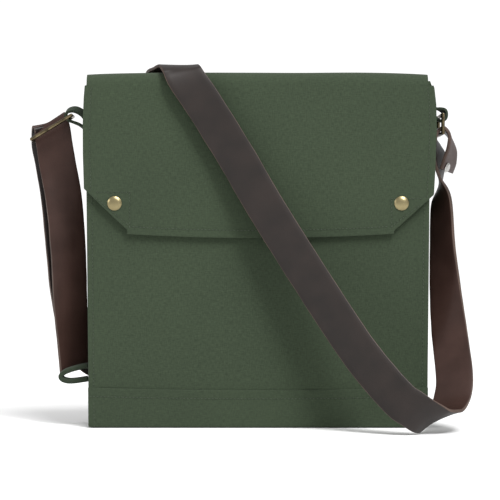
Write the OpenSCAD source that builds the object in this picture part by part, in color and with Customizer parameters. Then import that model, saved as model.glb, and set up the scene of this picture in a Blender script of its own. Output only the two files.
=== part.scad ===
// Canvas satchel with a folding-over flap, two snap fasteners and a leather shoulder strap.
// The origin is at the middle of the base's underside. +X is the wearer's left, seen from
// the front it points right; +Y points to the back of the bag and +Z up.

/* [Bag body] */
// Width of the body along its base
body_w = 292; // [240:1:350]
// Depth of the body from the front panel's face to the back panel's face
body_d = 64; // [52:1:78]
// How much each side leans out between the base and the mouth
side_lean = 3; // [0:0.5:5]
// Height of the front panel
front_h = 297; // [250:1:350]
// How far the side gussets stop below the front panel's top
gusset_drop = 6; // [3:1:20]
// Thickness of the doubled canvas
canvas_t = 1.8; // [1.2:0.1:2]
// Height of the band sewn round the foot of the front panel
band_h = 34; // [20:1:50]
// Thickness of the band and of the turned hems
hem_t = 1.2; // [0.8:0.1:1.5]
// Height of the turned hem inside the mouth
mouth_hem_h = 16; // [10:1:25]
// How far the divider stops below the gussets' top
divider_drop = 25; // [10:1:60]

/* [Flap] */
// How far the flap reaches past the body's base on each side
flap_reach = 5.5; // [5:0.5:12]
// Height of the flap's crown above the front panel's top
crown_rise = 9; // [8:0.5:14]
// Drop of the flap's front from its crown to its lower edge
flap_drop = 142; // [110:1:180]
// Thickness of the flap's doubled canvas
flap_t = 2; // [1.4:0.1:2.4]
// Gap between the flap's front and the band's plane on the body
flap_gap = 2.4; // [2.2:0.1:4]
// Width of the slanting cut at each lower corner
corner_cut_w = 39; // [20:1:50]
// Height of the slanting cut at each lower corner
corner_cut_h = 40; // [20:1:50]
// Width of the turned hem on the underside of the flap
flap_hem_w = 8; // [5:0.5:12]

/* [Snaps] */
// Distance of each snap from the flap's edge
snap_in = 28.5; // [24:0.5:40]
// Height of each snap above the flap's lower edge
snap_rise = 29; // [24:1:40]
// Diameter of the domed cap
snap_cap_d = 12.5; // [10:0.5:15]
// Diameter of the stud's knob
stud_d = 6.6; // [5:0.1:7]
// Radial clearance between the knob and its socket
snap_clearance = 0.7; // [0.6:0.1:1]

/* [Strap and rings] */
// Width of the leather strap
strap_w = 32; // [26:1:36]
// Thickness of the leather strap
strap_t = 3; // [2:0.1:3.4]
// Diameter of the ring wire
wire_d = 3.2; // [2.4:0.1:3.4]
// Spare width inside the rings beside the strap
ring_spare = 5; // [3.5:0.5:6]
// Distance between the middles of the left ring's long bars
left_ring_pitch = 16.2; // [15.8:0.1:19]
// Width of the canvas tape in the tabs and in the keeper
tape_w = 10; // [8:0.5:12]
// Thickness of the canvas tape
tape_t = 2.4; // [1.8:0.1:3]
// Clearance between the rings and the tape
tape_clearance = 0.4; // [0.3:0.05:0.6]
// Diameter of the rivet's head
rivet_d = 9; // [7:0.5:11]

/* [Hidden] */

$fn = 48;
canvas = [0.29, 0.34, 0.27];
canvas_dark = [0.24, 0.29, 0.23];
leather = [0.24, 0.18, 0.16];
brass = [0.62, 0.56, 0.40];
bronze = [0.30, 0.26, 0.20];
steel = [0.72, 0.72, 0.72];

half_d = body_d / 2;
flap_w = body_w + 2 * flap_reach;
snap_x = flap_w / 2 - snap_in;
gusset_h = front_h - gusset_drop;
back_h = front_h + 5;
crown_z = front_h + crown_rise;
seam_clear = 0.4;
flap_in_y = -half_d - hem_t - flap_gap;
flap_out_y = flap_in_y - flap_t;
flap_low_z = crown_z - flap_drop;
flap_shoulder = 6;
flap_turn_z = crown_z - flap_shoulder;
flap_turn_y = flap_out_y + flap_shoulder;
flap_back_y = half_d + 2;
snap_z = flap_low_z + snap_rise;

// Half the body's width at a height
function half_w(z) = body_w / 2 + side_lean * z / front_h;

// A panel in the XZ plane that leans with the body's sides
module upright_panel(y0, thick, z0, z1, inset = 0) {
    translate([0, y0 + thick, 0])
        rotate([90, 0, 0])
            linear_extrude(thick)
                polygon([[-half_w(z0) + inset, z0], [half_w(z0) - inset, z0],
                         [half_w(z1) - inset, z1], [-half_w(z1) + inset, z1]]);
}

// An outline in the XZ plane, thickened towards the back from y0
module upright_sheet(outline, y0, thick) {
    translate([0, y0 + thick, 0])
        rotate([90, 0, 0])
            linear_extrude(thick)
                polygon(outline);
}

module front_panel() {
    color(canvas) upright_panel(-half_d, canvas_t, 0, front_h);
}

module bottom_band() {
    color(canvas) upright_panel(-half_d - hem_t, hem_t, 0, band_h);
}

module back_panel() {
    color(canvas) upright_panel(half_d - canvas_t, canvas_t, 0, back_h);
}

// side = -1 for the left gusset and 1 for the right one
module gusset(side) {
    outline = [[side * half_w(0), 0], [side * half_w(gusset_h), gusset_h],
               [side * (half_w(gusset_h) - canvas_t), gusset_h],
               [side * (half_w(0) - canvas_t), 0]];
    color(canvas_dark)
        upright_sheet(outline, -half_d + canvas_t, body_d - 2 * canvas_t);
}

module left_gusset() {
    gusset(-1);
}

module right_gusset() {
    gusset(1);
}

module base_panel() {
    color(canvas_dark)
        translate([-body_w / 2 + canvas_t, -half_d + canvas_t, 0])
            cube([body_w - 2 * canvas_t, body_d - 2 * canvas_t, canvas_t]);
}

module front_mouth_hem() {
    color(canvas)
        upright_panel(-half_d + canvas_t, hem_t, front_h - mouth_hem_h, front_h, canvas_t + 1);
}

module back_mouth_hem() {
    color(canvas)
        upright_panel(half_d - canvas_t - hem_t, hem_t, back_h - mouth_hem_h, back_h,
                      canvas_t + 1);
}

module divider_panel() {
    color(canvas_dark)
        upright_panel(-canvas_t / 2, canvas_t, canvas_t, gusset_h - divider_drop, canvas_t + 0.1);
}

// Flap: the top reaches from the back edge to the shoulder, the front hangs from there
module flap_top_panel() {
    color(canvas)
        translate([-flap_w / 2, flap_turn_y + seam_clear, crown_z - flap_t])
            cube([flap_w, flap_back_y - flap_turn_y - seam_clear, flap_t]);
}

module flap_top_lining() {
    lining_inset = 6;
    color(canvas_dark)
        translate([-flap_w / 2 + lining_inset, flap_turn_y + 1, crown_z - flap_t - hem_t])
            cube([flap_w - 2 * lining_inset, half_d - flap_turn_y - 1, hem_t]);
}

module flap_front_panel() {
    half = flap_w / 2;
    cut_x = half - corner_cut_w;
    cut_z = flap_low_z + corner_cut_h;
    color(canvas)
        upright_sheet([[-half, flap_turn_z], [-half, cut_z], [-cut_x, flap_low_z],
                       [cut_x, flap_low_z], [half, cut_z], [half, flap_turn_z]],
                      flap_out_y, flap_t);
}

module flap_bottom_hem() {
    cut_x = flap_w / 2 - corner_cut_w;
    color(canvas)
        translate([-cut_x, flap_in_y, flap_low_z])
            cube([2 * cut_x, hem_t, flap_hem_w]);
}

module flap_side_hem(side) {
    low_z = flap_low_z + corner_cut_h;
    color(canvas)
        translate([side * (flap_w - flap_hem_w) / 2 - flap_hem_w / 2, flap_in_y, low_z])
            cube([flap_hem_w, hem_t, flap_turn_z - 2 - low_z]);
}

module flap_side_hem_left() {
    flap_side_hem(-1);
}

module flap_side_hem_right() {
    flap_side_hem(1);
}

// The stiffening patch behind each cut corner, pierced for the snap's shank
module corner_patch(side) {
    half = flap_w / 2;
    cut_x = half - corner_cut_w;
    cut_z = flap_low_z + corner_cut_h;
    low_z = flap_low_z + flap_hem_w;
    slope = corner_cut_w / corner_cut_h;
    color(canvas_dark)
        difference() {
            upright_sheet([[side * (half - flap_hem_w), cut_z - 1],
                           [side * (cut_x + slope * flap_hem_w), low_z],
                           [side * cut_x, low_z], [side * cut_x, cut_z - 1]],
                          flap_in_y, hem_t);
            snap_disc(side, flap_in_y - 1, hem_t + 2, snap_cap_d / 2);
        }
}

module corner_patch_left() {
    corner_patch(-1);
}

module corner_patch_right() {
    corner_patch(1);
}

// A disc on a snap's axis, from y0 towards the back
module snap_disc(side, y0, length, r) {
    translate([side * snap_x, y0 + length, snap_z])
        rotate([90, 0, 0])
            cylinder(h = length, r = r);
}

module snap_cap(side) {
    dome = 1.8;
    rim = 0.5;
    r = snap_cap_d / 2;
    ball = (r * r + dome * dome) / (2 * dome);
    color(brass)
        translate([side * snap_x, flap_out_y, snap_z])
            rotate([90, 0, 0]) {
                cylinder(h = rim, r = r);
                translate([0, 0, rim])
                    intersection() {
                        translate([0, 0, dome - ball]) sphere(ball);
                        cylinder(h = dome + 1, r = r);
                    }
            }
}

module snap_cap_left() {
    snap_cap(-1);
}

module snap_cap_right() {
    snap_cap(1);
}

socket_deep = 1.8;
knob_h = 1.6;
socket_y = flap_in_y;

module snap_socket(side) {
    color(brass)
        difference() {
            snap_disc(side, socket_y, socket_deep, snap_cap_d / 2 - 0.3);
            snap_disc(side, socket_y + 0.3, socket_deep, stud_d / 2 + snap_clearance);
        }
}

module snap_socket_left() {
    snap_socket(-1);
}

module snap_socket_right() {
    snap_socket(1);
}

module snap_stud(side) {
    flange = 0.9;
    knob_y = socket_y + 0.8;
    color(brass) {
        snap_disc(side, -half_d - flange, flange, snap_cap_d / 2 - 1);
        snap_disc(side, knob_y, -half_d - flange - knob_y + 0.1, stud_d / 2);
    }
}

module snap_stud_left() {
    snap_stud(-1);
}

module snap_stud_right() {
    snap_stud(1);
}

module snap_post(side) {
    color(brass) snap_disc(side, -half_d + canvas_t, 1.2, snap_cap_d / 2 - 1);
}

module snap_post_left() {
    snap_post(-1);
}

module snap_post_right() {
    snap_post(1);
}

// Rings and the canvas tabs that hold them
wire_r = wire_d / 2;
left_tilt = -31;
left_hold = follow([-180.23, 0, 260.15])
    + (strap_w / 2 + ring_spare / 2 + wire_r) * [cos(left_tilt), 0, -sin(left_tilt)];
right_hold = follow([160.3, 0, 270.5]);
right_ring_drop = 16;

// A rectangular wire ring in the XY plane; a is the gap along X and b the gap along Y
module wire_ring(a, b) {
    x = a / 2 + wire_r;
    y = b / 2 + wire_r;
    for (s = [-1, 1]) {
        translate([s * x, -y, 0]) rotate([-90, 0, 0]) cylinder(h = 2 * y, r = wire_r);
        translate([-x, s * y, 0]) rotate([0, 90, 0]) cylinder(h = 2 * x, r = wire_r);
        for (t = [-1, 1]) translate([s * x, t * y, 0]) sphere(wire_r);
    }
}

module left_ring() {
    gap = strap_w + ring_spare;
    color(bronze)
        translate(left_hold)
            rotate([0, left_tilt, 0])
                translate([-gap / 2 - wire_r, 0, 0])
                    wire_ring(gap, left_ring_pitch - wire_d);
}

module right_ring() {
    drop = right_ring_drop;
    color(bronze)
        translate([right_hold[0], 0, right_hold[2] - drop / 2])
            rotate([0, 90, 0])
                wire_ring(drop - wire_d, strap_w + ring_spare);
}

// A tape loop round a bar that runs along Y, with its tail reaching the gusset
module tape_tab(side, hold, tail_z) {
    bore_r = wire_r + tape_clearance;
    tail_x = side * half_w(tail_z);
    color(canvas)
        translate([0, tape_w / 2, 0])
            rotate([90, 0, 0])
                linear_extrude(tape_w)
                    difference() {
                        union() {
                            translate([hold[0], hold[2]]) circle(bore_r + tape_t);
                            hull() {
                                translate([hold[0], hold[2] + bore_r + tape_t / 2])
                                    circle(tape_t / 2);
                                translate([tail_x + side * tape_t / 2, tail_z])
                                    circle(tape_t / 2);
                            }
                        }
                        translate([hold[0], hold[2]]) circle(bore_r);
                    }
}

module left_tab() {
    tape_tab(-1, left_hold, left_hold[2] + 3.5);
}

module right_tab() {
    tape_tab(1, right_hold, right_hold[2] + 6.5);
}

// The tape's stitched-down end, a square on the gusset
module tab_anchor(side, low_z, high_z, wide) {
    color(canvas_dark)
        upright_sheet([[side * half_w(low_z), low_z], [side * half_w(high_z), high_z],
                       [side * (half_w(high_z) + hem_t), high_z],
                       [side * (half_w(low_z) + hem_t), low_z]], -wide / 2, wide);
}

module left_tab_anchor() {
    tab_anchor(-1, left_hold[2] + 6.5, left_hold[2] + 19.5, tape_w + 3);
}

module right_tab_anchor() {
    tab_anchor(1, right_hold[2] + 9.5, right_hold[2] + 19.5, tape_w + 3);
}

// The keeper: a loop of rolled tape low on the left gusset, in front of the strap's cut end
keeper_w = 7;
keeper_strap_gap = 1.6;
keeper_front_y = 3 - 0.71 * strap_w / 2 - keeper_strap_gap - keeper_w;
keeper_t = 4.2;
keeper_high_z = 51;
keeper_low_z = 42;
keeper_reach_z = 45.5;
keeper_reach_x = -half_w(keeper_reach_z) - 25.5;

module keeper_outline(grow) {
    hull() {
        translate([-half_w(keeper_high_z) + 12, keeper_high_z]) circle(grow);
        translate([-half_w(keeper_low_z) + 12, keeper_low_z]) circle(grow);
        translate([keeper_reach_x, keeper_reach_z]) circle(grow);
    }
}

module keeper_loop() {
    seam_x = -half_w(keeper_high_z + keeper_t) - hem_t;
    color(canvas)
        translate([0, keeper_front_y + keeper_w, 0])
            rotate([90, 0, 0])
                linear_extrude(keeper_w)
                    difference() {
                        keeper_outline(keeper_t + 1);
                        keeper_outline(1);
                        translate([seam_x, 0]) square([40, 80]);
                    }
}

module keeper_anchor() {
    color(canvas_dark)
        upright_sheet([[-half_w(34), 34], [-half_w(62), 62], [-half_w(62) - hem_t, 62],
                       [-half_w(34) - hem_t, 34]], keeper_front_y - 2, keeper_w + 4);
}

// Where a point of the strap goes: the route was drawn for a body 292 wide, 64 deep and 297
// high with a strap 32 wide, and its points move out with the sizes that they lie against
function follow(p) = [
    p[0] + max(-1, min(1, p[0] / 150)) * ((body_w - 292) / 2 + (strap_w - 32) / 2),
    p[1] + max(-1, min(1, p[1] / 32)) * (body_d - 64) / 2,
    p[2] + max(0, min(1, (p[2] - 30) / 200)) * (front_h - 297)];

// Strap route: each station is the strap's centre and the way its width points.
// It starts at the cut end outside the right ring and ends at the cut end in the keeper.
route = [
    [[165, -2, 222], [-0.42, -0.91, 0]],
    [[168, -2.5, 231], [-0.42, -0.91, 0]],
    [[170, -2, 242], [-0.3, -0.95, 0]],
    [[168, -0.8, 253], [-0.1, -1, 0]],
    [[161.3, 0, 259.4], [0, -1, 0]],
    [[155.7, 0, 254], [0, -1, 0]],
    [[157.2, 0, 244], [-0.26, -0.97, 0]],
    [[159.2, 0, 234], [-0.4, -0.92, 0]],
    [[160, -0.5, 214], [-0.12, -0.99, 0]],
    [[160.5, -4, 194], [0.42, -0.91, 0]],
    [[161, -10, 153], [0.57, -0.82, 0]],
    [[163, -18, 112], [0.77, -0.63, 0]],
    [[165, -27, 83], [0.88, -0.47, 0]],
    [[167, -40, 56], [0.94, -0.33, 0.06]],
    [[167, -50, 39], [0.95, -0.2, 0.18]],
    [[163, -60, 25.5], [0.94, -0.08, 0.32]],
    [[156, -73, 15.5], [0.92, 0, 0.4]],
    [[147, -87, 12.5], [0.9, 0.05, 0.43]],
    [[137, -96, 15.5], [0.84, 0.06, 0.54]],
    [[127, -98, 22], [0.79, 0.04, 0.61]],
    [[114, -94, 32], [0.76, 0, 0.65]],
    [[85.5, -81, 66], [0.81, 0, 0.59]],
    [[49, -67, 121], [0.83, 0, 0.555]],
    [[6.5, -55, 189], [0.85, 0, 0.53]],
    [[-16, -50, 228], [0.86, 0, 0.51]],
    [[-43, -47, 272], [0.86, 0, 0.51]],
    [[-61, -44.5, 299], [0.88, 0.1, 0.45]],
    [[-66, -38, 308], [0.93, 0.25, 0.2]],
    [[-70, -24, 311.6], [0.96, 0.27, 0]],
    [[-77, 3, 311.8], [0.97, 0.25, 0]],
    [[-83, 28, 311.2], [0.97, 0.22, -0.05]],
    [[-86, 39.6, 304.5], [0.97, 0.12, -0.2]],
    [[-89, 41, 288], [0.97, 0, -0.25]],
    [[-100, 41, 240], [0.97, 0, -0.25]],
    [[-122, 45, 150], [0.97, 0.1, -0.22]],
    [[-125, 50, 90], [0.94, 0.3, -0.12]],
    [[-127, 57, 70], [0.88, 0.46, 0]],
    [[-131, 57.5, 57], [0.85, 0.5, 0.1]],
    [[-140, 51, 52], [0.8, 0.55, 0.2]],
    [[-152, 39.5, 60], [0.78, 0.6, 0.15]],
    [[-161.5, 26.5, 79], [0.79, 0.61, 0.06]],
    [[-167.5, 10.5, 112], [0.85, 0.52, 0]],
    [[-171, 6, 153], [0.91, 0.41, 0.05]],
    [[-175, 8, 197], [0.95, 0.28, 0.15]],
    [[-181, 12, 232], [0.9, 0.08, 0.42]],
    [[-184, 12.8, 247], [0.857, 0, 0.515]],
    [[-184, 13.2, 257], [0.857, 0, 0.515]],
    [[-183, 8.2, 265], [0.857, 0, 0.515]],
    [[-180.8, 3.3, 258.5], [0.857, 0, 0.515]],
    [[-178.8, 1.5, 247], [0.88, 0, 0.47]],
    [[-175.5, -1, 228], [0.93, 0.08, 0.33]],
    [[-169.8, -3, 197], [0.96, 0.26, 0.1]],
    [[-166, -3.5, 153], [0.91, 0.41, 0]],
    [[-164.3, -3.2, 109], [0.86, 0.51, 0]],
    [[-162.6, 0.5, 75], [0.76, 0.65, 0]],
    [[-161, 3, 47], [0.7, 0.71, 0]]];
steps = 3;

function unit(v) = v / norm(v);
function clamp_index(i) = max(0, min(len(route) - 1, i));
function knot(i, part) =
    let (station = route[clamp_index(i)]) part == 0 ? follow(station[0]) : station[1];
// A smooth curve through the stations' centres (part 0) or width directions (part 1)
function blend(i, u, part) =
    let (a = knot(i - 1, part), b = knot(i, part), c = knot(i + 1, part), d = knot(i + 2, part))
    0.5 * (2 * b + (c - a) * u + (2 * a - 5 * b + 4 * c - d) * u * u
           + (3 * b - a - 3 * c + d) * u * u * u);
function at(s, part) =
    let (i = min(floor(s), len(route) - 2)) blend(i, s - i, part);
function heading(s) =
    let (h = 0.02, last = len(route) - 1)
    unit(at(min(s + h, last), 0) - at(max(s - h, 0), 0));
// The four corners of the strap's section at s stations along the route
function section(s) =
    let (p = at(s, 0), t = heading(s), raw = at(s, 1), w = unit(raw - (raw * t) * t),
         n = cross(t, w), a = w * strap_w / 2, b = n * strap_t / 2)
    [p - a - b, p + a - b, p + a + b, p - a + b];

// The strap between two stations, as one closed solid
module strap_stretch(from, to) {
    count = (to - from) * steps;
    corners = [for (i = [0:count]) each section(from + i / steps)];
    sides = [for (i = [0:count - 1]) for (k = [0:3])
             each [[4 * i + k, 4 * i + 4 + k, 4 * i + (k + 1) % 4],
                   [4 * i + (k + 1) % 4, 4 * i + 4 + k, 4 * i + 4 + (k + 1) % 4]]];
    last = 4 * count;
    ends = [[0, 1, 2], [0, 2, 3], [last, last + 2, last + 1], [last, last + 3, last + 2]];
    color(leather) polyhedron(corners, concat(sides, ends));
}

module strap_end_fold() {
    strap_stretch(0, 7);
}

module strap_right_run() {
    strap_stretch(7, 13);
}

module strap_floor_loop() {
    strap_stretch(13, 20);
}

module strap_front_run() {
    strap_stretch(20, 28);
}

module strap_top_turn() {
    strap_stretch(28, 32);
}

module strap_back_run() {
    strap_stretch(32, 35);
}

module strap_rear_loop() {
    strap_stretch(35, 40);
}

module strap_rear_layer() {
    strap_stretch(40, 44);
}

module strap_ring_fold() {
    strap_stretch(44, 50);
}

module strap_front_layer() {
    strap_stretch(50, 55);
}

// The rivet joins the folded end to the strap, near the fold's front edge
rivet_s = 0.4;
rivet_aside = 7;
rivet_through = 9.1;
rivet_clear = 0.5;

module on_strap_end(out) {
    p = at(rivet_s, 0);
    t = heading(rivet_s);
    raw = at(rivet_s, 1);
    w = unit(raw - (raw * t) * t);
    n = cross(t, w);
    spot = p + w * rivet_aside + n * out;
    multmatrix([[t[0], w[0], n[0], spot[0]], [t[1], w[1], n[1], spot[1]],
                [t[2], w[2], n[2], spot[2]], [0, 0, 0, 1]])
        children();
}

module strap_end_rivet() {
    color(steel)
        on_strap_end(strap_t / 2 + rivet_clear)
            cylinder(h = 1.4, r1 = rivet_d / 2, r2 = rivet_d / 2 - 1);
}

module strap_end_burr() {
    color(steel)
        on_strap_end(-strap_t / 2 - rivet_clear - 1.2 - rivet_through)
            cylinder(h = 1.2, r = rivet_d / 2 - 1);
}

front_panel();
bottom_band();
back_panel();
left_gusset();
right_gusset();
base_panel();
front_mouth_hem();
back_mouth_hem();
divider_panel();
left_tab();
right_tab();
left_tab_anchor();
right_tab_anchor();
keeper_loop();
keeper_anchor();
snap_stud_left();
snap_stud_right();
snap_post_left();
snap_post_right();
flap_top_panel();
flap_top_lining();
flap_front_panel();
flap_bottom_hem();
flap_side_hem_left();
flap_side_hem_right();
corner_patch_left();
corner_patch_right();
snap_cap_left();
snap_cap_right();
snap_socket_left();
snap_socket_right();
left_ring();
right_ring();
strap_end_rivet();
strap_end_burr();
strap_end_fold();
strap_right_run();
strap_floor_loop();
strap_front_run();
strap_top_turn();
strap_back_run();
strap_rear_loop();
strap_rear_layer();
strap_ring_fold();
strap_front_layer();
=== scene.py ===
from math import sin, cos, pi, exp, hypot, radians

import bmesh
import bpy
from mathutils import Matrix, Vector, noise


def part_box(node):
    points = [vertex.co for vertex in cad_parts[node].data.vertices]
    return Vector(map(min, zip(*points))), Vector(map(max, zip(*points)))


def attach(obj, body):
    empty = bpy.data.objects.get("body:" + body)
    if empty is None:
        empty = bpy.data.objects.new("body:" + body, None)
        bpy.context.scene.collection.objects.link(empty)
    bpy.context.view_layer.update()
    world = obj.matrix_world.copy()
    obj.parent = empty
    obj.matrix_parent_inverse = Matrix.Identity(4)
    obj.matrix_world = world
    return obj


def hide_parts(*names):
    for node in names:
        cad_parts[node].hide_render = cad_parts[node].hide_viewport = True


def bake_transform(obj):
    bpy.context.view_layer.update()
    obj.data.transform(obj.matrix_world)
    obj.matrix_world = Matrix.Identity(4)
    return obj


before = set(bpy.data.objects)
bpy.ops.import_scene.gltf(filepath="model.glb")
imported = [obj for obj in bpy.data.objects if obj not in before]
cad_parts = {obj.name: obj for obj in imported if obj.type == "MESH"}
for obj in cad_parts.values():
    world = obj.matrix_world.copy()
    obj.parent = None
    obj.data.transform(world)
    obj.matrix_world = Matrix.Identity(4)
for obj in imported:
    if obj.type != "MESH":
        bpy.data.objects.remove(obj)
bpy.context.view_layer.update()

# The view: a level, nearly orthographic look straight at the flap, with the whole strap in it.
# The bag stands on a pale floor in front of a white wall, under broad soft lights.
VIEW_DISTANCE = 1.6
VIEW_WIDTH = 0.43
VIEW_ASIDE = -0.0069
VIEW_HEIGHT = 0.153
front_lo, front_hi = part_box("front_panel")
camera = bpy.data.objects.new("camera", bpy.data.cameras.new("camera"))
camera.data.sensor_width = 36
camera.data.lens = 36 * VIEW_DISTANCE / VIEW_WIDTH
camera.location = (VIEW_ASIDE, front_lo.y - VIEW_DISTANCE, VIEW_HEIGHT)
camera.rotation_euler = (radians(90), 0, 0)
bpy.context.collection.objects.link(camera)
bpy.context.scene.camera = camera


def white_paper(name, grey):
    material = bpy.data.materials.new(name)
    material.use_nodes = True
    nodes, links = material.node_tree.nodes, material.node_tree.links
    shader = nodes["Principled BSDF"]
    shader.inputs["Roughness"].default_value = 0.9
    grain = nodes.new("ShaderNodeTexNoise")
    grain.inputs["Scale"].default_value = 3
    tint = nodes.new("ShaderNodeValToRGB")
    tint.color_ramp.elements[0].color = (grey * 0.98, grey * 0.98, grey * 0.98, 1)
    tint.color_ramp.elements[1].color = (grey, grey, grey, 1)
    place = nodes.new("ShaderNodeTexCoord")
    links.new(place.outputs["Object"], grain.inputs["Vector"])
    links.new(grain.outputs["Fac"], tint.inputs["Fac"])
    links.new(tint.outputs["Color"], shader.inputs["Base Color"])
    return material


floor_mesh = bmesh.new()
bmesh.ops.create_grid(floor_mesh, x_segments=1, y_segments=1, size=6)
floor_data = bpy.data.meshes.new("studio_floor")
floor_mesh.to_mesh(floor_data)
floor_mesh.free()
floor = bpy.data.objects.new("studio_floor", floor_data)
floor_data.materials.append(white_paper("floor_paper", 0.95))
bpy.context.collection.objects.link(floor)

world = bpy.data.worlds.new("studio")
world.use_nodes = True
sky = world.node_tree.nodes["Background"]
sky.inputs["Color"].default_value = (1, 1, 1, 1)
seen = world.node_tree.nodes.new("ShaderNodeLightPath")
level = world.node_tree.nodes.new("ShaderNodeMath")
level.operation = "MULTIPLY_ADD"
level.inputs[1].default_value = 0.4
level.inputs[2].default_value = 0.7
world.node_tree.links.new(seen.outputs["Is Camera Ray"], level.inputs[0])
world.node_tree.links.new(level.outputs[0], sky.inputs["Strength"])
bpy.context.scene.world = world
bpy.context.scene.view_settings.view_transform = "Standard"


def soft_light(name, place, aim, size, power):
    lamp = bpy.data.lights.new(name, "AREA")
    lamp.size = size
    lamp.energy = power
    light = bpy.data.objects.new(name, lamp)
    light.location = place
    light.rotation_euler = (Vector(aim) - Vector(place)).to_track_quat("-Z", "Y").to_euler()
    bpy.context.collection.objects.link(light)


soft_light("key_light", (0.75, -1.3, 1.45), (0, 0, 0.15), 0.45, 17)
soft_light("side_light", (-1.5, -0.55, 0.75), (-0.17, 0, 0.17), 0.5, 6)
sun = bpy.data.objects.new("even_light", bpy.data.lights.new("even_light", "SUN"))
sun.data.energy = 2.1
sun.data.angle = radians(25)
sun.rotation_euler = (radians(28), radians(16), 0)
bpy.context.collection.objects.link(sun)


# The canvas: a fine plain weave of green cotton, doubled in every panel of the bag.
# A panel is cut from the flat, so its weave follows the cloth's own width and length.
THREAD = 0.0011
CANVAS_LIGHT = (0.044, 0.062, 0.0355, 1)
CANVAS_DARK = (0.019, 0.028, 0.0162, 1)


def node_maker(material):
    material.use_nodes = True
    tree = material.node_tree

    def make(kind, values=(), **settings):
        node = tree.nodes.new(kind)
        for key, value in settings.items():
            setattr(node, key, value)
        for socket, value in dict(values).items():
            if hasattr(value, "links"):
                tree.links.new(value, node.inputs[socket])
            else:
                node.inputs[socket].default_value = value
        return node

    return tree.nodes["Principled BSDF"], tree, make


def canvas_cloth(name, light, dark):
    material = bpy.data.materials.new(name)
    shader, tree, make = node_maker(material)
    cloth = make("ShaderNodeUVMap").outputs["UV"]
    split = make("ShaderNodeSeparateXYZ", {0: cloth})
    warp = make("ShaderNodeMath", {0: split.outputs["X"], 1: 2 * pi / THREAD}, operation="MULTIPLY")
    weft = make("ShaderNodeMath", {0: split.outputs["Y"], 1: 2 * pi / THREAD}, operation="MULTIPLY")
    warp_wave = make("ShaderNodeMath", {0: warp.outputs[0]}, operation="SINE")
    weft_wave = make("ShaderNodeMath", {0: weft.outputs[0]}, operation="SINE")
    weave = make("ShaderNodeMath", {0: warp_wave.outputs[0], 1: weft_wave.outputs[0]},
                 operation="MULTIPLY")
    along = make("ShaderNodeMapping", {0: cloth, "Scale": (1100, 260, 1)})
    across = make("ShaderNodeMapping", {0: cloth, "Scale": (260, 1100, 1)})
    slub_up = make("ShaderNodeTexNoise", {0: along.outputs[0], "Scale": 1.0, "Detail": 3.0})
    slub_over = make("ShaderNodeTexNoise", {0: across.outputs[0], "Scale": 1.0, "Detail": 3.0})
    slub = make("ShaderNodeMath", {0: slub_up.outputs["Fac"], 1: slub_over.outputs["Fac"]},
                operation="ADD")
    place = make("ShaderNodeTexCoord").outputs["Object"]
    wear = make("ShaderNodeTexNoise", {0: place, "Scale": 11.0, "Detail": 4.0})
    tone = make("ShaderNodeMath", {0: weave.outputs[0], 1: 0.16, 2: 0.0}, operation="MULTIPLY_ADD")
    tone_slub = make("ShaderNodeMath", {0: slub.outputs[0], 1: 1.1, 2: tone.outputs[0]},
                     operation="MULTIPLY_ADD")
    tone_wear = make("ShaderNodeMath", {0: wear.outputs["Fac"], 1: 0.5, 2: tone_slub.outputs[0]},
                     operation="MULTIPLY_ADD")
    spread = make("ShaderNodeMapRange", {0: tone_wear.outputs[0], 1: 0.75, 2: 1.95})
    colour = make("ShaderNodeValToRGB", {0: spread.outputs[0]})
    colour.color_ramp.elements[0].color = dark
    colour.color_ramp.elements[1].color = light
    relief = make("ShaderNodeMath", {0: slub.outputs[0], 1: 0.7, 2: weave.outputs[0]},
                  operation="MULTIPLY_ADD")
    bump = make("ShaderNodeBump", {"Height": relief.outputs[0], "Strength": 0.35,
                                   "Distance": 0.0002})
    rough = make("ShaderNodeMapRange", {0: wear.outputs["Fac"], 3: 0.82, 4: 0.95})
    tree.links.new(colour.outputs[0], shader.inputs["Base Color"])
    tree.links.new(bump.outputs[0], shader.inputs["Normal"])
    tree.links.new(rough.outputs[0], shader.inputs["Roughness"])
    shader.inputs["Sheen Weight"].default_value = 0.06
    shader.inputs["Sheen Roughness"].default_value = 0.6
    shader.inputs["Specular IOR Level"].default_value = 0.12
    return material


green_canvas = canvas_cloth("green_canvas", CANVAS_LIGHT, CANVAS_DARK)
# The same green canvas with painted shade: a darker copy for the base, the divider, the mouth
# turnings, the flap lining and the corner stays, which sit inside the bag or under the flap.
canvas_in_painted_shade = canvas_cloth("canvas_in_painted_shade", (0.026, 0.037, 0.023, 1), (0.017, 0.024, 0.015, 1))
tape_canvas = canvas_cloth("tape_canvas", (0.032, 0.045, 0.028, 1), (0.015, 0.022, 0.013, 1))


def to_object(name, mesh, *materials):
    bmesh.ops.recalc_face_normals(mesh, faces=mesh.faces)
    data = bpy.data.meshes.new(name)
    mesh.to_mesh(data)
    mesh.free()
    data.shade_smooth()
    piece = bpy.data.objects.new(name, data)
    for material in materials:
        data.materials.append(material)
    bpy.context.collection.objects.link(piece)
    return piece


# A cloth panel: a fine grid laid where place(a, b) says, a across and b along from 0 to 1,
# with the cut's width and length in metres as its UVs, then given the cloth's thickness.
def cloth_panel(name, place, width, length, thick, across, along, *materials, cut=None):
    mesh = bmesh.new()
    layer = mesh.loops.layers.uv.new("UVMap")
    bmesh.ops.create_grid(mesh, x_segments=across, y_segments=along, size=0.5)
    flat = {v: (v.co.x + 0.5, v.co.y + 0.5) for v in mesh.verts}
    for face in mesh.faces:
        for corner in face.loops:
            a, b = cut(*flat[corner.vert]) if cut else flat[corner.vert]
            corner[layer].uv = (a * width, b * length)
    for vert, (a, b) in flat.items():
        vert.co = place(a, b)
    piece = to_object(name, mesh, *materials)
    wall = piece.modifiers.new("cloth", "SOLIDIFY")
    wall.thickness = thick
    wall.offset = 0
    rounding = piece.modifiers.new("edge", "BEVEL")
    rounding.width = thick * 0.35
    rounding.segments = 2
    rounding.limit_method = "ANGLE"
    return piece


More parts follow.
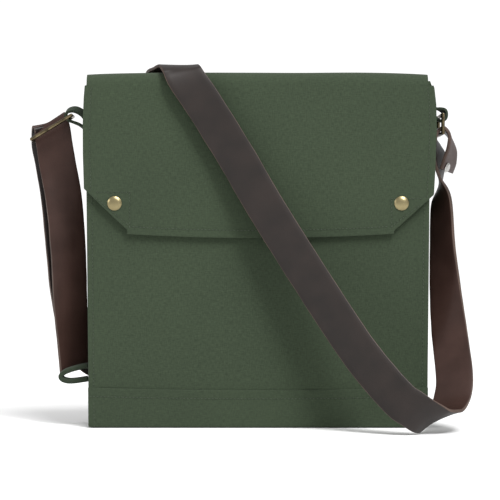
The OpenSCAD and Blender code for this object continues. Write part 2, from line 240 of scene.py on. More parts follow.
# The body: a front and a back panel, two gussets that fall in a little, and a base, all of
# doubled canvas, seamed along the edges and turned in round the mouth.
back_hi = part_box("back_panel")[1]
base_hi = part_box("base_panel")[1]
gusset_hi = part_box("right_gusset")[1]
PANEL_THICK = 0.0018
body_h = front_hi.z


def half_width(z):
    """Half the body's width, which the flap draws in a little near the mouth."""
    drawn_in = 0.0052 * max(0.0, (z - 0.266) / 0.031) ** 2
    return base_hi.x + 0.0018 + (front_hi.x - base_hi.x - 0.0018) * z / body_h - drawn_in


def fullness(x, z):
    side = 1 - (x / half_width(z)) ** 2
    ripple = noise.noise(Vector((x * 14, 3.1, z * 9)))
    return max(side, 0) * (0.0012 * sin(pi * min(z / body_h, 1)) + 0.0005 * ripple)


def front_y(x, z):
    """The front's middle layer, which stands out over the seam allowance at each side."""
    allowance = 0.0006 / (1 + exp((half_width(z) - 0.0088 - abs(x)) / 0.0007))
    return front_lo.y + PANEL_THICK / 2 - fullness(x, z) - allowance


def back_y(x, z):
    return back_hi.y - PANEL_THICK / 2 + 1.5 * fullness(x, z + 0.4)


def body_front(a, b):
    z = front_lo.z + 0.0009 + b * (front_hi.z - 0.0009)
    x = (2 * a - 1) * (half_width(z) - 0.0006)
    return Vector((x, front_y(x, z), z))


def body_back(a, b):
    z = 0.0009 + b * (back_hi.z - 0.0018)
    x = (2 * a - 1) * (half_width(z) - 0.0006)
    return Vector((x, back_y(x, z), z))


front_cloth = cloth_panel("front_cloth", body_front, front_hi.x * 2, body_h, PANEL_THICK,
                          160, 80, green_canvas)
back_cloth = cloth_panel("back_cloth", body_back, back_hi.x * 2, back_hi.z, PANEL_THICK,
                         80, 80, green_canvas)
for piece, node in ((front_cloth, "front_panel"), (back_cloth, "back_panel")):
    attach(piece, "bag")
    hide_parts(node)


def side_cloth(side):
    depth = back_hi.y - front_lo.y - 2 * PANEL_THICK

    def place(a, b):
        z = 0.0009 + b * (gusset_hi.z - 0.0009)
        y = front_lo.y + PANEL_THICK + a * depth
        middle = sin(pi * a)
        fall = 0.006 * middle * min(z / 0.05, 1) * (1 - exp(-((z - gusset_hi.z) / 0.05) ** 2))
        pull = 0.0035 * middle * exp(-((z - 0.283) / 0.016) ** 2)
        fold = 0.0007 * noise.noise(Vector((side * 4, y * 25, z * 11)))
        return Vector((side * (half_width(z) - 0.0009 - fall + pull + fold * middle), y, z))

    return cloth_panel("left_gusset_cloth" if side < 0 else "right_gusset_cloth", place,
                       depth, gusset_hi.z, PANEL_THICK, 24, 80, green_canvas)


for side, node in ((-1, "left_gusset"), (1, "right_gusset")):
    gusset = side_cloth(side)
    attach(gusset, "bag")
    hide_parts(node)


def flat_cloth(name, node, normal, thick, cells, material, body="bag"):
    """A plain panel in the place of a flat CAD sheet; normal is the axis it faces."""
    lo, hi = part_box(node)
    middle = (lo + hi) / 2
    first, second = [i for i in range(3) if i != normal]
    width, length = hi[first] - lo[first], hi[second] - lo[second]

    def place(a, b):
        spot = Vector(middle)
        spot[first] = lo[first] + a * width
        spot[second] = lo[second] + b * length
        spot[normal] += 0.0003 * noise.noise(spot * 20)
        return spot

    piece = cloth_panel(name, place, width, length, thick, *cells, material)
    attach(piece, body)
    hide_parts(node)
    return piece


# The base, the mouth turnings and the divider take the darker canvas, which is painted shade for
# the inside of the bag.
flat_cloth("base_cloth", "base_panel", 2, 0.0016, (40, 12), canvas_in_painted_shade)
flat_cloth("front_mouth_turning", "front_mouth_hem", 1, 0.001, (40, 4), canvas_in_painted_shade)
flat_cloth("back_mouth_turning", "back_mouth_hem", 1, 0.001, (40, 4), canvas_in_painted_shade)
flat_cloth("divider_cloth", "divider_panel", 1, 0.0016, (40, 40), canvas_in_painted_shade)


# The foot band: a strip of the same canvas, folded along its top edge and stitched over the
# bottom of the front panel.
band_lo, band_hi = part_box("bottom_band")
BAND_THICK = 0.0013


def band_top(x):
    return band_hi.z - 0.0022 * (1 - (x / band_hi.x) ** 2) + 0.0008


def body_band(a, b):
    z = 0.0008 + b * (band_top((2 * a - 1) * band_hi.x) - 0.0008)
    x = (2 * a - 1) * (half_width(z) - 0.0002)
    puff = 0.0004 * sin(pi * b) + 0.0005 * b ** 8
    return Vector((x, band_lo.y + BAND_THICK / 2 - puff + 0.0001, z))


band = cloth_panel("foot_band", body_band, 2 * band_hi.x, band_hi.z, BAND_THICK, 80, 14,
                   green_canvas)
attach(band, "bag")
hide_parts("bottom_band")


# The flap: one long piece of doubled canvas, sewn to the back panel, carried over the mouth
# and down the front, with a slanting cut at each lower corner.
fold_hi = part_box("flap_top_panel")[1]
drop_lo, drop_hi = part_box("flap_front_panel")
FLAP_THICK = 0.002
FLAP_SEAM = 0.016
SHOULDER = 0.0095
crown = fold_hi.z - FLAP_THICK / 2
drop_y = (drop_lo.y + drop_hi.y) / 2
seam_y = back_hi.y + 0.0012
turn_in = 0.0065


def flap_profile(s):
    """Where the flap's middle layer runs, as (y, z), s metres from its sewn edge."""
    rise = crown - turn_in - (back_hi.z - FLAP_SEAM)
    if s < rise:
        return seam_y + 0.0004, back_hi.z - FLAP_SEAM + s
    s -= rise
    arc = turn_in * pi / 2
    if s < arc:
        t = s / turn_in
        return seam_y + 0.0004 - turn_in + turn_in * cos(t), crown - turn_in + turn_in * sin(t)
    s -= arc
    level = seam_y + 0.0004 - turn_in - (drop_y + SHOULDER)
    if s < level:
        return seam_y + 0.0004 - turn_in - s, crown
    s -= level
    arc = SHOULDER * pi / 2
    if s < arc:
        t = s / SHOULDER
        return drop_y + SHOULDER - SHOULDER * sin(t), crown - SHOULDER + SHOULDER * cos(t)
    return drop_y, crown - SHOULDER - (s - arc)


# How far each edge is from the middle, at heights from the foot to the crown.
LEFT_EDGE = ((0.150, 0.1494), (0.208, 0.1494), (0.235, 0.1502), (0.262, 0.1503), (0.283, 0.1495),
             (0.297, 0.1484), (0.303, 0.1474), (0.310, 0.1462))
RIGHT_EDGE = ((0.150, 0.1506), (0.199, 0.1508), (0.222, 0.1520), (0.256, 0.1532),
              (0.278, 0.1528), (0.292, 0.1512), (0.300, 0.1482), (0.310, 0.1436))


def flap_side(z, right):
    """How far the flap's edge is from the middle at a height of its front."""
    table = RIGHT_EDGE if right else LEFT_EDGE
    cut_z = (0.199 if right else 0.2045)
    foot_x, foot_z = (0.1165, 0.1662) if right else (0.112, 0.1668)
    for (z0, x0), (z1, x1) in zip(table, table[1:]):
        if z <= z1:
            break
    t = max(0.0, min(1.0, (z - z0) / (z1 - z0)))
    edge = x0 + (x1 - x0) * t
    if z >= cut_z:
        return edge
    t = (cut_z - z) / (cut_z - foot_z)
    return edge + min(t, 1) * (foot_x - edge)


flap_length = (crown - turn_in - (back_hi.z - FLAP_SEAM)) + turn_in * pi / 2 + (
    seam_y + 0.0004 - turn_in - (drop_y + SHOULDER)) + SHOULDER * pi / 2
drop_start = flap_length
FLAP_FOOT = 0.1633
flap_length += crown - SHOULDER - FLAP_FOOT
flap_half = 0.056


def flap_point(a, s):
    y, z = flap_profile(s)
    hanging = max(0.0, s - drop_start)
    left, right = (flap_side(z, False), flap_side(z, True)) if hanging else (
        flap_side(crown, False), flap_side(crown, True))
    x = -left + a * (left + right)
    middle = 1 - (x / drop_hi.x) ** 2
    if hanging:
        low = hanging / (crown - SHOULDER - FLAP_FOOT)
        z += low ** 3 * 0.0035 * (abs(x) / 0.115) ** 2 * (abs(x) < 0.1175)
        z += low ** 3 * 0.0035 * (abs(x) >= 0.1175)
        y += -0.0008 * middle * sin(pi * low) + 0.0005 * noise.noise(Vector((x * 15, 8, z * 13)))
    else:
        z += -0.0022 * (1 - middle) ** 3 + 0.0004 * noise.noise(Vector((x * 15, y * 20, 4)))
    return Vector((x, y, z))


def flap_part(name, start, end, rows, columns=90):
    def place(a, b):
        return flap_point(a, start + b * (end - start))

    def cut(a, b):
        spot = place(a, b)
        return spot.x / 0.3 + 0.5, b

    return cloth_panel(name, place, 0.3, end - start, FLAP_THICK, columns, rows, green_canvas,
                       cut=cut)


flap_over = flap_part("flap_over_mouth", 0, flap_half, 28)
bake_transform(flap_over)
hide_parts("flap_top_panel")

flap_drop = flap_part("flap_front_cloth", flap_half, flap_length, 90)
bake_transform(flap_drop)
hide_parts("flap_front_panel")

# The flap lining takes the darker canvas, which is painted shade under the flap.
flat_cloth("flap_lining", "flap_top_lining", 2, 0.001, (40, 12), canvas_in_painted_shade, "flap_top")
def foot_z(x):
    """The height of the flap's lower edge, which rises a little towards its corners."""
    return FLAP_FOOT + 0.0035 * (abs(x) / 0.115) ** 2


foot_lo, foot_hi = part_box("flap_bottom_hem")


def foot_turning(a, b):
    x = -0.1095 + a * 0.2235
    low = foot_z(x) + 0.001
    return Vector((x, (foot_lo.y + foot_hi.y) / 2, low + b * 0.009))


turning = cloth_panel("flap_foot_turning", foot_turning, 0.2235, 0.009, 0.001, 40, 3, green_canvas)
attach(turning, "flap_front")
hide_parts("flap_bottom_hem")


def edge_turning(name, node, side):
    lo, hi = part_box(node)

    def place(a, b):
        z = lo.z + 0.002 + b * (hi.z - lo.z - 0.002)
        edge = flap_side(z, side > 0) - 0.0012
        return Vector((side * (edge - a * 0.0075), (lo.y + hi.y) / 2, z))

    strip_of_cloth = cloth_panel(name, place, 0.0075, hi.z - lo.z, 0.001, 3, 30, green_canvas)
    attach(strip_of_cloth, "flap_front")
    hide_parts(node)


edge_turning("flap_left_turning", "flap_side_hem_left", -1)
edge_turning("flap_right_turning", "flap_side_hem_right", 1)


# Each cut corner is stiffened underneath with a second piece of canvas, which the snap's
# shank passes through.
def corner_cloth(side, node, name):
    lo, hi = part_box(node)

    def place(a, b):
        z = max(lo.z, 0.172) + b * (hi.z - max(lo.z, 0.172))
        inner = min(abs(lo.x), abs(hi.x))
        outer = min(max(abs(lo.x), abs(hi.x)), flap_side(z, side > 0) - 0.004)
        return Vector((side * (inner + a * max(outer - inner, 0.0015)), (lo.y + hi.y) / 2, z))

    # The corner stay takes the darker canvas, which is painted shade under the flap.
    patch = cloth_panel(name, place, hi.x - lo.x, hi.z - lo.z, 0.001, 10, 10, canvas_in_painted_shade)
    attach(patch, "flap_front")
    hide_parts(node)


corner_cloth(-1, "corner_patch_left", "corner_stay_left")
corner_cloth(1, "corner_patch_right", "corner_stay_right")


# The stitching: lock stitches of a slightly paler green thread, each a small proud bead that
# lies along the seam.
STITCH_PITCH = 0.0031
STITCH_LENGTH = 0.0023
THREAD_R = 0.00033


def thread_material():
    material = bpy.data.materials.new("green_thread")
    shader, tree, make = node_maker(material)
    place = make("ShaderNodeTexCoord").outputs["Object"]
    twist = make("ShaderNodeTexNoise", {0: place, "Scale": 900.0, "Detail": 2.0})
    colour = make("ShaderNodeValToRGB", {0: twist.outputs["Fac"]})
    colour.color_ramp.elements[0].color = (0.015, 0.023, 0.013, 1)
    colour.color_ramp.elements[1].color = (0.048, 0.066, 0.040, 1)
    bump = make("ShaderNodeBump", {"Height": twist.outputs["Fac"], "Distance": 0.0001})
    tree.links.new(colour.outputs[0], shader.inputs["Base Color"])
    tree.links.new(bump.outputs[0], shader.inputs["Normal"])
    shader.inputs["Roughness"].default_value = 0.6
    return material


green_thread = thread_material()


def stitch_row(mesh, points, out):
    """Beads along a line of points; out is the way the cloth faces."""
    out = Vector(out).normalized()
    left_over = 0.0
    for start, end in zip(points, points[1:]):
        step = end - start
        length = step.length
        if length < 1e-6:
            continue
        way = step / length
        aside = way.cross(out).normalized()
        turn = Matrix((way, aside, way.cross(aside) * -1)).transposed().to_4x4()
        at = left_over
        while at < length:
            middle = start + way * at + out * THREAD_R * 0.5
            size = Matrix.Diagonal((STITCH_LENGTH / 2, THREAD_R, THREAD_R * 0.9, 1))
            bmesh.ops.create_icosphere(mesh, subdivisions=1, radius=1,
                                       matrix=Matrix.Translation(middle) @ turn @ size)
            at += STITCH_PITCH
        left_over = at - length


def stitched(name, body, rows):
    mesh = bmesh.new()
    for points, out in rows:
        stitch_row(mesh, points, out)
    piece = to_object(name, mesh, green_thread)
    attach(piece, body)
    return piece


def on_front(x, z):
    return Vector((x, front_y(x, z) - PANEL_THICK / 2, z))


def on_band(x, drop):
    return Vector((x, band_lo.y - 0.0004 * sin(pi * 0.8), band_top(x) - drop))


def on_back(x, z):
    return Vector((x, back_y(x, z) + PANEL_THICK / 2, z))


EDGE_IN = 0.0052
FRONT = (0, -1, 0)
body_rows = [([on_band(band_hi.x * (i / 30 - 1) * 0.985, 0.0075) for i in range(61)], FRONT)]
for side in (-1, 1):
    body_rows.append(([on_front(side * (half_width(z) - EDGE_IN), z)
                       for z in [band_hi.z + i * (body_h - band_hi.z) / 60 for i in range(61)]],
                      FRONT))
    body_rows.append(([Vector((side * (half_width(z) - EDGE_IN), band_lo.y, z))
                       for z in [0.002 + i * 0.003 for i in range(8)]], FRONT))
stitched("front_stitching", "bag", body_rows)

back_rows = []
for side in (-1, 1):
    back_rows.append(([on_back(side * (half_width(z) - EDGE_IN), z)
                       for z in [0.004 + i * (back_hi.z - 0.024) / 60 for i in range(61)]],
                      (0, 1, 0)))
for drop in (0.0035, 0.0125):
    back_rows.append(([Vector((x, seam_y + 0.0004 + FLAP_THICK / 2,
                               back_hi.z - FLAP_SEAM + drop))
                       for x in [-0.143 + i * 0.286 / 60 for i in range(61)]], (0, 1, 0)))
stitched("back_stitching", "bag", back_rows)


def on_flap(x, z):
    return Vector((x, drop_y - FLAP_THICK / 2 - 0.0008 * (1 - (x / drop_hi.x) ** 2)
                   * sin(pi * (crown - SHOULDER - z) / (crown - SHOULDER - FLAP_FOOT))
                   + 0.0005 * noise.noise(Vector((x * 15, 8, z * 13))), z))


def flap_line(x0, z0, x1, z1, count=30):
    return [on_flap(x0 + (x1 - x0) * i / count, z0 + (z1 - z0) * i / count)
            for i in range(count + 1)]


flap_rows = [([on_flap(x, foot_z(x) + 0.0065) for x in
               [-0.107 + i * 0.217 / 60 for i in range(61)]], FRONT)]
for side, right in ((-1, False), (1, True)):
    top_z, cut_z = crown - 0.012, (0.199 if right else 0.2045)
    flap_rows.append(([on_flap(side * (flap_side(z, right) - 0.006), z) for z in
                       [cut_z + i * (top_z - cut_z) / 40 for i in range(41)]], FRONT))
    foot_x = 0.1165 if right else 0.112
    inner = foot_x - 0.002
    high = cut_z - 0.003
    rim = flap_side(high, right) - 0.0065
    flap_rows.append((flap_line(side * inner, foot_z(inner) + 0.0065, side * rim, high - 0.003),
                      FRONT))
    flap_rows.append((flap_line(side * inner, foot_z(inner) + 0.0065, side * inner, high + 0.001),
                      FRONT))
    flap_rows.append((flap_line(side * inner, high + 0.001, side * rim, high + 0.001), FRONT))
stitched("flap_stitching", "flap_front", flap_rows)


# The snap fasteners: pressed brass, with a domed cap outside the flap, a socket under it, and
# a stud and its post on the body. The caps are spun from a turned outline.
def metal(name, bright, dull, rough, scale=260.0):
    material = bpy.data.materials.new(name)
    shader, tree, make = node_maker(material)
    place = make("ShaderNodeTexCoord").outputs["Object"]
    tarnish = make("ShaderNodeTexNoise", {0: place, "Scale": scale, "Detail": 5.0})
    colour = make("ShaderNodeValToRGB", {0: tarnish.outputs["Fac"]})
    colour.color_ramp.elements[0].position = 0.3
    colour.color_ramp.elements[1].position = 0.65
    colour.color_ramp.elements[0].color = dull
    colour.color_ramp.elements[1].color = bright
    finish = make("ShaderNodeMapRange", {0: tarnish.outputs["Fac"], 3: rough + 0.12,
                                         4: rough - 0.06})
    bump = make("ShaderNodeBump", {"Height": tarnish.outputs["Fac"], "Strength": 0.15,
                                   "Distance": 0.0002})
    tree.links.new(colour.outputs[0], shader.inputs["Base Color"])
    tree.links.new(finish.outputs[0], shader.inputs["Roughness"])
    tree.links.new(bump.outputs[0], shader.inputs["Normal"])
    shader.inputs["Metallic"].default_value = 1.0
    return material


antique_brass = metal("antique_brass", (0.30, 0.255, 0.14, 1), (0.24, 0.2, 0.105, 1), 0.32, 90.0)
dark_bronze = metal("dark_bronze", (0.20, 0.16, 0.09, 1), (0.05, 0.04, 0.025, 1), 0.3)
rivet_steel = metal("rivet_steel", (0.46, 0.45, 0.43, 1), (0.3, 0.29, 0.28, 1), 0.3)


def snap_cap(node, name):
    lo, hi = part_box(node)
    middle = (lo + hi) / 2
    radius = (hi.x - lo.x) / 2
    outline = [(0.0, 0.00235), (0.25, 0.0023), (0.5, 0.0021), (0.72, 0.00172), (0.86, 0.00125),
               (0.93, 0.0009), (1.0, 0.00075), (1.0, 0.0003), (0.96, 0.0)]
    mesh = bmesh.new()
    verts = [mesh.verts.new((middle.x + r * radius, hi.y - h, middle.z)) for r, h in outline]
    edges = [mesh.edges.new(pair) for pair in zip(verts, verts[1:])]
    bmesh.ops.spin(mesh, geom=verts + edges, cent=middle, axis=(0, 1, 0), angle=2 * pi,
                   steps=40, use_merge=True)
    bmesh.ops.remove_doubles(mesh, verts=mesh.verts, dist=0.00002)
    bmesh.ops.holes_fill(mesh, edges=[e for e in mesh.edges if e.is_boundary])
    cap = to_object(name, mesh, antique_brass)
    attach(cap, "flap_front")
    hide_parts(node)


snap_cap("snap_cap_left", "snap_dome_left")
snap_cap("snap_cap_right", "snap_dome_right")


def finish_node(node, material):
    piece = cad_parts[node]
    piece.data.materials.clear()
    piece.data.materials.append(material)


for part in ("snap_socket", "snap_stud", "snap_post"):
    for side in ("left", "right"):
        finish_node(f"{part}_{side}", antique_brass)
finish_node("left_ring", dark_bronze)
finish_node("right_ring", dark_bronze)
finish_node("strap_end_rivet", rivet_steel)
finish_node("strap_end_burr", rivet_steel)


# A strip: a rounded flat section carried along a smooth route. The strap, the tabs and the
# keeper are strips. Its UVs run round the section and along the route, in metres.
def curve_at(knots, s):
    i = min(int(s), len(knots) - 2)
    u = s - i
    a, b, c, d = (Vector(knots[max(0, min(len(knots) - 1, k))]) for k in range(i - 1, i + 3))
    return 0.5 * (2 * b + (c - a) * u + (2 * a - 5 * b + 4 * c - d) * u ** 2
                  + (3 * b - a - 3 * c + d) * u ** 3)


def rounded_section(width, thick, corner, flat_cells=8, round_cells=3):
    """The points round the section as (across, out), going round its four sides in turn."""
    ring = []
    for side, (mid_x, mid_y, turn) in enumerate(((1, 1, 0), (-1, 1, 1), (-1, -1, 2), (1, -1, 3))):
        cx, cy = mid_x * (width / 2 - corner), mid_y * (thick / 2 - corner)
        for k in range(round_cells + 1):
            t = (turn + k / round_cells) * pi / 2
            ring.append((cx + corner * cos(t), cy + corner * sin(t)))
        if side in (0, 2):
            ex = -mid_x * (width / 2 - corner)
            for k in range(1, flat_cells):
                ring.append((cx + (ex - cx) * k / flat_cells, mid_y * thick / 2))
    return ring


def strip(name, stations, width, thick, corner, rows, materials, pick=None, roughen=0.0):
    centres, widths = [p for p, w in stations], [w for p, w in stations]
    ring = rounded_section(width, thick, corner)
    around = len(ring)
    last = len(stations) - 1
    mesh = bmesh.new()
    layer = mesh.loops.layers.uv.new("UVMap")
    bmesh.ops.create_grid(mesh, x_segments=around, y_segments=rows, size=0.5)
    girth = [0.0]
    for k in range(around):
        (x0, y0), (x1, y1) = ring[k], ring[(k + 1) % around]
        girth.append(girth[-1] + hypot(x1 - x0, y1 - y0))
    run = [0.0]
    for k in range(rows):
        step = curve_at(centres, last * (k + 1) / rows) - curve_at(centres, last * k / rows)
        run.append(run[-1] + step.length)
    cell = {v: (round((v.co.x + 0.5) * around), round((v.co.y + 0.5) * rows))
            for v in mesh.verts}
    for face in mesh.faces:
        for corner_loop in face.loops:
            k, row = cell[corner_loop.vert]
            corner_loop[layer].uv = (girth[k], run[row])
        if pick:
            middle = sum(cell[v][0] for v in face.verts) / 4
            near = ring[int(middle) % around], ring[(int(middle) + 1) % around]
            face.material_index = pick((near[0][0] + near[1][0]) / 2,
                                       (near[0][1] + near[1][1]) / 2)
    for vert, (k, row) in cell.items():
        s = last * row / rows
        centre = curve_at(centres, s)
        way = (curve_at(centres, min(s + 0.02, last)) - curve_at(centres, max(s - 0.02, 0)))
        way.normalize()
        raw = curve_at(widths, s)
        over = (raw - raw.dot(way) * way).normalized()
        out = way.cross(over)
        x, y = ring[k % around]
        wander = roughen * noise.noise(Vector((run[row] * 60, 5 * (x > 0), 1)))
        vert.co = centre + over * (x + wander * (abs(x) > width * 0.45)) + out * y
    bmesh.ops.remove_doubles(mesh, verts=mesh.verts, dist=0.00001)
    bmesh.ops.holes_fill(mesh, edges=[e for e in mesh.edges if e.is_boundary])
    if pick:
        for face in mesh.faces:
            if len(face.verts) > 4:
                face.material_index = 1
    return to_object(name, mesh, *materials), run[-1]


# The tabs and the keeper: short loops of canvas tape. Each tab goes round one bar of its ring
# and is sewn flat to the gusset. The keeper is a smaller loop, low on the left gusset in front of
# the cut end of the strap.
def tape_loop(name, route, wide, node, thick=0.0024, rows=60):
    piece, length = strip(name, route, wide, thick, 0.0005, rows, (tape_canvas,))
    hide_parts(node)
    return piece


left_tab_lo, left_tab_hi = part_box("left_tab")
tape_wide = left_tab_hi.y - left_tab_lo.y
ACROSS = (0, 1, 0)
left_tab = tape_loop("left_ring_tab", [
    ((-0.1498, 0.001, 0.2672), (0.2, 0.9, 0.4)), ((-0.1522, 0, 0.2712), (0.2, 0.88, 0.42)),
    ((-0.1560, -0.0008, 0.2745), (0.2, 0.86, 0.45)),
    ((-0.1610, -0.0012, 0.2762), (0.15, 0.86, 0.45)),
    ((-0.1660, -0.001, 0.2750), (0.0, 0.92, 0.35)),
    ((-0.1684, -0.0005, 0.2712), (0, 1, 0.1)), ((-0.1666, 0, 0.2672), ACROSS),
    ((-0.1620, 0, 0.2652), ACROSS), ((-0.1570, 0, 0.2632), (0.1, 1, -0.1)),
    ((-0.1530, 0, 0.2605), (0.1, 1, -0.2)), ((-0.1500, 0, 0.2570), (0, 1, -0.1))],
    tape_wide, "left_tab")
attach(left_tab, "bag")
right_tab = tape_loop("right_ring_tab", [
    ((0.1506, 0, 0.288), (0, 1, 0.1)), ((0.1512, 0, 0.2815), (-0.1, 1, 0.1)),
    ((0.1538, 0, 0.2775), (-0.3, 0.95, 0.2)), ((0.1583, 0, 0.2768), (-0.4, 0.9, 0.1)),
    ((0.1632, 0, 0.2748), (-0.3, 0.95, -0.1)), ((0.1652, 0, 0.2705), ACROSS),
    ((0.1637, 0, 0.2672), ACROSS), ((0.1603, 0, 0.2662), ACROSS),
    ((0.157, 0, 0.2678), ACROSS), ((0.1545, 0, 0.2705), ACROSS),
    ((0.1525, 0, 0.2712), ACROSS), ((0.1509, 0, 0.267), ACROSS)],
    tape_wide, "right_tab")
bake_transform(right_tab)


def sewn_square(side, node, name, wide, centre=0.0):
    lo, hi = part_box(node)

    def place(a, b):
        z = lo.z + b * (hi.z - lo.z)
        return Vector((side * (half_width(z) + 0.0002), centre + (a - 0.5) * wide, z))

    piece = cloth_panel(name, place, wide, hi.z - lo.z, 0.001, 8, 8, tape_canvas)
    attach(piece, "bag")
    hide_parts(node)


sewn_square(-1, "left_tab_anchor", "left_tab_stay", 0.014)
sewn_square(1, "right_tab_anchor", "right_tab_stay", 0.014)
sewn_square(-1, "keeper_anchor", "keeper_stay", 0.011, -0.0135)

LEAN = (0.1, 1, 0.25)
keeper = strip("strap_keeper", [
    ((-0.1478, -0.0135, 0.0525), LEAN), ((-0.1505, -0.0135, 0.0522), LEAN),
    ((-0.1562, -0.0135, 0.0510), LEAN), ((-0.1632, -0.0135, 0.0490), LEAN),
    ((-0.1683, -0.0135, 0.0468), LEAN), ((-0.1712, -0.0135, 0.0438), LEAN),
    ((-0.1695, -0.0135, 0.0408), LEAN), ((-0.1645, -0.0135, 0.0394), LEAN),
    ((-0.1585, -0.0135, 0.0396), LEAN), ((-0.1528, -0.0135, 0.0404), LEAN),
    ((-0.1478, -0.0135, 0.0412), LEAN)],
    0.007, 0.0040, 0.0012, 60, (tape_canvas,))[0]
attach(keeper, "bag")
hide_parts("keeper_loop")


# The strap: one long strip of dark brown bridle leather, waxed on its grain side, with a
# plain flesh side and raw cut edges that show the paler hide. It runs from the rivet at the
# right ring, through a loop on the floor, over the flap and behind the bag to the left ring.
STRAP_ROUTE = (
    ((0.165, -0.002, 0.222), (-0.42, -0.91, 0)),
    ((0.168, -0.0025, 0.231), (-0.42, -0.91, 0)),
    ((0.17, -0.002, 0.242), (-0.3, -0.95, 0)),
    ((0.168, -0.0008, 0.253), (-0.1, -1, 0)),
    ((0.1613, 0, 0.2594), (0, -1, 0)),
    ((0.1557, 0, 0.254), (0, -1, 0)),
    ((0.1572, 0, 0.244), (-0.26, -0.97, 0)),
    ((0.1592, 0, 0.234), (-0.4, -0.92, 0)),
    ((0.16, -0.0005, 0.214), (-0.12, -0.99, 0)),
    ((0.1605, -0.004, 0.194), (0.42, -0.91, 0)),
    ((0.161, -0.01, 0.153), (0.57, -0.82, 0)),
    ((0.163, -0.018, 0.112), (0.77, -0.63, 0)),
    ((0.165, -0.027, 0.083), (0.88, -0.47, 0)),
    ((0.167, -0.04, 0.056), (0.94, -0.33, 0.06)),
    ((0.167, -0.05, 0.039), (0.95, -0.2, 0.18)),
    ((0.163, -0.06, 0.0255), (0.94, -0.08, 0.32)),
    ((0.156, -0.073, 0.0155), (0.92, 0, 0.4)),
    ((0.147, -0.087, 0.0125), (0.9, 0.05, 0.43)),
    ((0.137, -0.096, 0.0155), (0.84, 0.06, 0.54)),
    ((0.127, -0.098, 0.022), (0.79, 0.04, 0.61)),
    ((0.114, -0.094, 0.032), (0.76, 0, 0.65)),
    ((0.0855, -0.081, 0.066), (0.81, 0, 0.59)),
    ((0.049, -0.067, 0.121), (0.83, 0, 0.555)),
    ((0.0065, -0.055, 0.189), (0.85, 0, 0.53)),
    ((-0.016, -0.05, 0.228), (0.86, 0, 0.51)),
    ((-0.043, -0.047, 0.272), (0.86, 0, 0.51)),
    ((-0.061, -0.0445, 0.299), (0.88, 0.1, 0.45)),
    ((-0.066, -0.038, 0.308), (0.93, 0.25, 0.2)),
    ((-0.07, -0.024, 0.3116), (0.96, 0.27, 0)),
    ((-0.077, 0.003, 0.3118), (0.97, 0.25, 0)),
    ((-0.083, 0.028, 0.3112), (0.97, 0.22, -0.05)),
    ((-0.086, 0.0396, 0.3045), (0.97, 0.12, -0.2)),
    ((-0.089, 0.041, 0.288), (0.97, 0, -0.25)),
    ((-0.1, 0.041, 0.24), (0.97, 0, -0.25)),
    ((-0.122, 0.045, 0.15), (0.97, 0.1, -0.22)),
    ((-0.125, 0.05, 0.09), (0.94, 0.3, -0.12)),
    ((-0.127, 0.057, 0.07), (0.88, 0.46, 0)),
    ((-0.131, 0.0575, 0.057), (0.85, 0.5, 0.1)),
    ((-0.14, 0.051, 0.052), (0.8, 0.55, 0.2)),
    ((-0.152, 0.0395, 0.06), (0.78, 0.6, 0.15)),
    ((-0.1615, 0.0265, 0.079), (0.79, 0.61, 0.06)),
    ((-0.1675, 0.0105, 0.112), (0.85, 0.52, 0)),
    ((-0.171, 0.006, 0.153), (0.91, 0.41, 0.05)),
    ((-0.175, 0.008, 0.197), (0.95, 0.28, 0.15)),
    ((-0.181, 0.012, 0.232), (0.9, 0.08, 0.42)),
    ((-0.184, 0.0128, 0.247), (0.857, 0, 0.515)),
    ((-0.184, 0.0132, 0.257), (0.857, 0, 0.515)),
    ((-0.183, 0.0082, 0.265), (0.857, 0, 0.515)),
    ((-0.1808, 0.0033, 0.2585), (0.857, 0, 0.515)),
    ((-0.1788, 0.0015, 0.247), (0.88, 0, 0.47)),
    ((-0.1755, -0.001, 0.228), (0.93, 0.08, 0.33)),
    ((-0.1698, -0.003, 0.197), (0.96, 0.26, 0.1)),
    ((-0.166, -0.0035, 0.153), (0.91, 0.41, 0)),
    ((-0.1643, -0.0032, 0.109), (0.86, 0.51, 0)),
    ((-0.1626, 0.0005, 0.075), (0.76, 0.65, 0)),
    ((-0.161, 0.003, 0.047), (0.7, 0.71, 0)),
)
STRAP_WIDE = 0.032
STRAP_THICK = 0.003
STRAP_SPLIT = 37


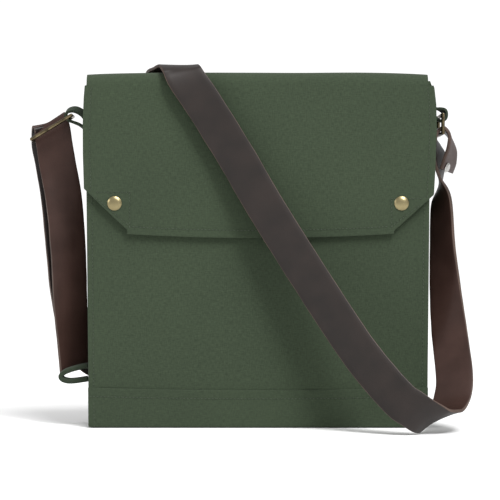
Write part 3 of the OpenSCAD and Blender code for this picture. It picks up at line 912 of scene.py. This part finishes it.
def leather(name, light, dark, rough, grain, gloss):
    material = bpy.data.materials.new(name)
    shader, tree, make = node_maker(material)
    skin = make("ShaderNodeUVMap").outputs["UV"]
    pores = make("ShaderNodeTexVoronoi", {0: skin, "Scale": grain})
    creases = make("ShaderNodeTexNoise", {0: skin, "Scale": grain * 0.45, "Detail": 6.0})
    cloud = make("ShaderNodeTexNoise", {0: skin, "Scale": 34.0, "Detail": 3.0})
    colour = make("ShaderNodeValToRGB", {0: cloud.outputs["Fac"]})
    colour.color_ramp.elements[0].position = 0.3
    colour.color_ramp.elements[1].position = 0.72
    colour.color_ramp.elements[0].color = dark
    colour.color_ramp.elements[1].color = light
    relief = make("ShaderNodeMath", {0: pores.outputs["Distance"], 1: 0.5,
                                     2: creases.outputs["Fac"]}, operation="MULTIPLY_ADD")
    bump = make("ShaderNodeBump", {"Height": relief.outputs[0], "Strength": 0.3,
                                   "Distance": 0.0002})
    finish = make("ShaderNodeMapRange", {0: creases.outputs["Fac"], 3: rough - 0.05,
                                         4: rough + 0.1})
    tree.links.new(colour.outputs[0], shader.inputs["Base Color"])
    tree.links.new(bump.outputs[0], shader.inputs["Normal"])
    tree.links.new(finish.outputs[0], shader.inputs["Roughness"])
    shader.inputs["Specular IOR Level"].default_value = gloss
    return material


grain_side = leather("strap_grain", (0.044, 0.0235, 0.0188, 1), (0.027, 0.0138, 0.0108, 1), 0.38,
                     1300.0, 0.16)
cut_edge = leather("strap_cut_edge", (0.095, 0.062, 0.048, 1), (0.035, 0.022, 0.017, 1), 0.6,
                   2400.0, 0.3)
flesh_side = leather("strap_flesh", (0.016, 0.010, 0.008, 1), (0.007, 0.0045, 0.0035, 1), 0.42,
                     1900.0, 0.35)


def strap_face(x, y):
    if abs(x) > STRAP_WIDE / 2 - 0.0004:
        return 1
    return 0 if y > 0 else 2


def strap_part(name, first, last, rows):
    piece, length = strip(name, STRAP_ROUTE[first:last + 1], STRAP_WIDE, STRAP_THICK, 0.0007,
                          rows, (grain_side, cut_edge, flesh_side), strap_face, 0.00025)
    return piece


long_strap = strap_part("long_strap", 0, STRAP_SPLIT, 520)
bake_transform(long_strap)
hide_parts("strap_end_fold", "strap_right_run", "strap_floor_loop",
            "strap_front_run", "strap_top_turn", "strap_back_run")
ring_strap = strap_part("ring_strap", STRAP_SPLIT, len(STRAP_ROUTE) - 1, 300)
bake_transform(ring_strap)
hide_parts("strap_rear_loop", "strap_rear_layer", "strap_ring_fold",
            "strap_front_layer")
